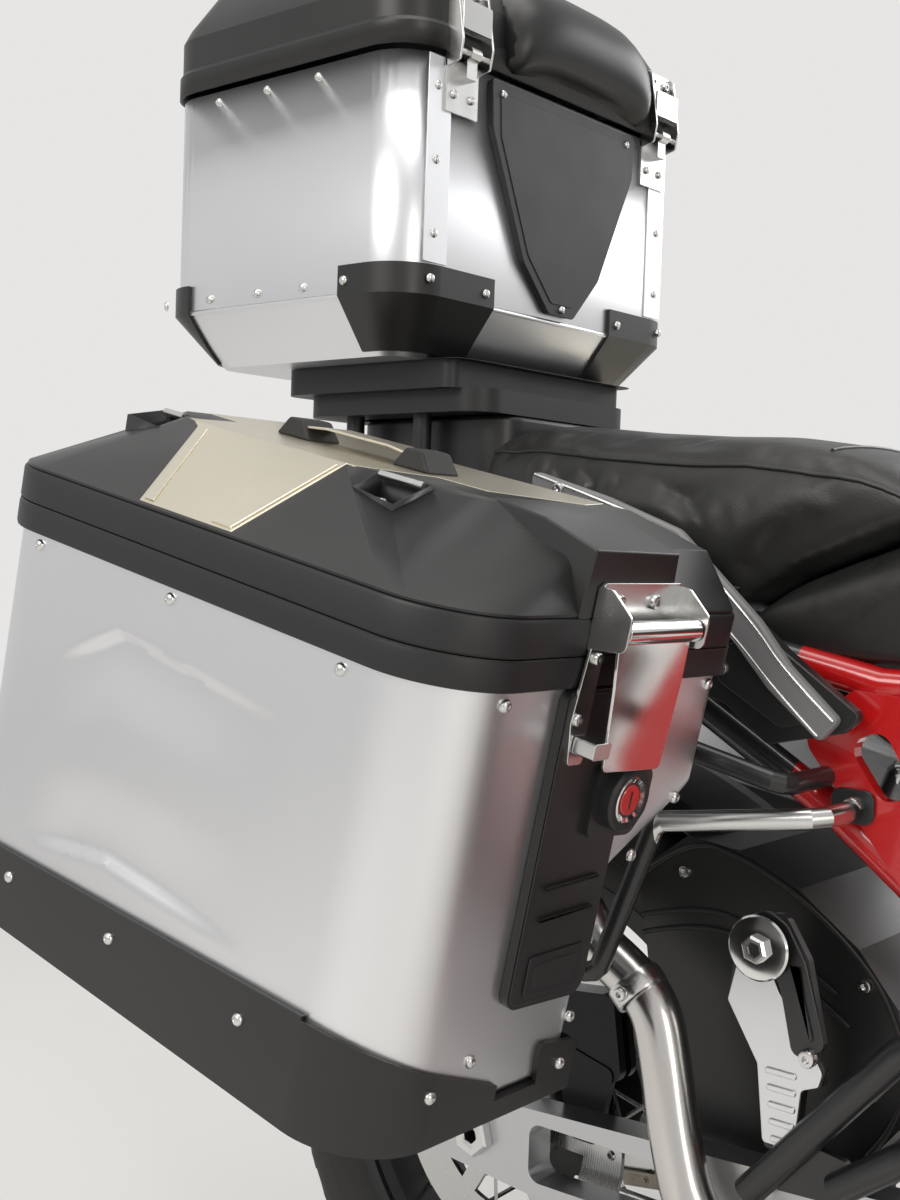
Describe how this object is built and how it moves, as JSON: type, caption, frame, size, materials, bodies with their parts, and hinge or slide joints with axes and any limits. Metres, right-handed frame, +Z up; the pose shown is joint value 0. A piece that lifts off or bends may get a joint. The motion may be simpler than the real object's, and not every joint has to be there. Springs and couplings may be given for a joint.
{
  "type": "adventure motorcycle",
  "caption": "Adventure motorcycle on its centre stand with hinged aluminium side cases and top case, turning wheels and steering.",
  "frame": {"origin": "middle of the base of the bounding box, on the floor", "axes": "+X forward, +Y to the rider's left, +Z up"},
  "size_m": [2.307, 1.088, 1.442],
  "materials": {
    "aluminium": "satin",
    "black_metal": "satin",
    "black_plastic": "matte",
    "chrome": "polished",
    "clear_screen": "clear",
    "dark_glass": "gloss",
    "grey_plastic": "satin",
    "lamp_lens": "gloss",
    "red_paint": "gloss",
    "rubber": "matte",
    "seat_cover": "grained",
    "silver_metal": "satin",
    "steel": "brushed",
    "tyre": "matte"
  },
  "bodies": {
    "chassis": {"axle_tubes": "steel", "case_carriers": "black_metal", "case_shell_left": "aluminium", "case_shell_right": "aluminium", "case_trim_left": "black_plastic", "case_trim_right": "black_plastic", "crash_bars": "black_metal", "display": "dark_glass", "drive_chain": "steel", "engine": "black_metal", "exhaust": "silver_metal", "footrests": "silver_metal", "front_stay": "black_metal", "fuel_tank": "grey_plastic", "grab_rails": "grey_plastic", "headlamp_nose": "grey_plastic", "hugger": "black_plastic", "luggage_rack": "black_metal", "main_frame": "red_paint", "plate_holder": "black_plastic", "radiators": "black_metal", "rear_caliper": "silver_metal", "seats": "seat_cover", "shrouds": "grey_plastic", "silencer": "silver_metal", "skid_plate": "aluminium", "subframe": "red_paint", "swingarm": "silver_metal", "tail_lamp": "lamp_lens", "tail_panels": "black_plastic", "top_case_hinges": "steel", "top_case_shell": "aluminium", "top_case_trim": "black_plastic", "windscreen": "clear_screen"},
    "case_lid_right_body": {"case_lid_right": "black_plastic", "case_lid_fittings_right": "steel"},
    "case_lid_left_body": {"case_lid_left": "black_plastic", "case_lid_fittings_left": "steel"},
    "case_lever_right_body": {"case_lever_right": "steel"},
    "case_lever_left_body": {"case_lever_left": "steel"},
    "top_case_lid_body": {"top_case_lid": "black_plastic"},
    "steering": {"fork_clamps": "black_metal", "fork_outers": "black_metal", "fork_sliders": "chrome", "front_axle": "steel", "front_calipers": "silver_metal", "front_mudguard": "black_plastic", "handlebar": "black_metal", "grips": "rubber", "hand_guards": "black_plastic", "mirrors": "black_plastic"},
    "front_wheel": {"front_rim": "silver_metal", "front_tyre": "tyre", "front_discs": "steel"},
    "rear_wheel": {"rear_rim": "silver_metal", "rear_tyre": "tyre", "rear_disc": "steel", "rear_sprocket": "steel"},
    "centre_stand_body": {"centre_stand": "black_metal"},
    "side_stand_body": {"side_stand": "black_metal"}
  },
  "joints": [
    {"name": "case_lid_right_hinge", "type": "hinge", "parent": "chassis", "child": "case_lid_right_body", "pos_m": [-0.94541, -0.38, 0.92621], "axis": [0, -1, 0], "range_deg": [0, 70]},
    {"name": "case_lever_right_hinge", "type": "hinge", "parent": "case_lid_right_body", "child": "case_lever_right_body", "pos_m": [-0.4426, -0.375, 0.84376], "axis": [0, -1, 0], "range_deg": [0, 120]},
    {"name": "case_lid_left_hinge", "type": "hinge", "parent": "chassis", "child": "case_lid_left_body", "pos_m": [-0.94541, 0.38, 0.92621], "axis": [0, -1, 0], "range_deg": [0, 70]},
    {"name": "case_lever_left_hinge", "type": "hinge", "parent": "case_lid_left_body", "child": "case_lever_left_body", "pos_m": [-0.4426, 0.375, 0.84376], "axis": [0, -1, 0], "range_deg": [0, 120]},
    {"name": "top_case_lid_hinge", "type": "hinge", "parent": "chassis", "child": "top_case_lid_body", "pos_m": [-0.8025, 0, 1.332], "axis": [0, 1, 0], "range_deg": [0, 70]},
    {"name": "steering_turn", "type": "hinge", "parent": "chassis", "child": "steering", "pos_m": [0.46058, 0, 0.88541], "axis": [-0.4617, 0, 0.887], "range_deg": [-36, 36]},
    {"name": "front_wheel_spin", "type": "hinge", "parent": "steering", "child": "front_wheel", "pos_m": [0.8085, 0, 0.345], "axis": [0, 1, 0], "continuous": true},
    {"name": "rear_wheel_spin", "type": "hinge", "parent": "chassis", "child": "rear_wheel", "pos_m": [-0.7665, 0, 0.36], "axis": [0, 1, 0], "continuous": true},
    {"name": "centre_stand_fold", "type": "hinge", "parent": "chassis", "child": "centre_stand_body", "pos_m": [-0.2465, 0, 0.29], "axis": [0, 1, 0], "range_deg": [0, 90]},
    {"name": "side_stand_fold", "type": "hinge", "parent": "chassis", "child": "side_stand_body", "pos_m": [-0.1265, 0.156, 0.262], "axis": [0, -0.9781, -0.2079], "range_deg": [0, 99]}
  ]
}
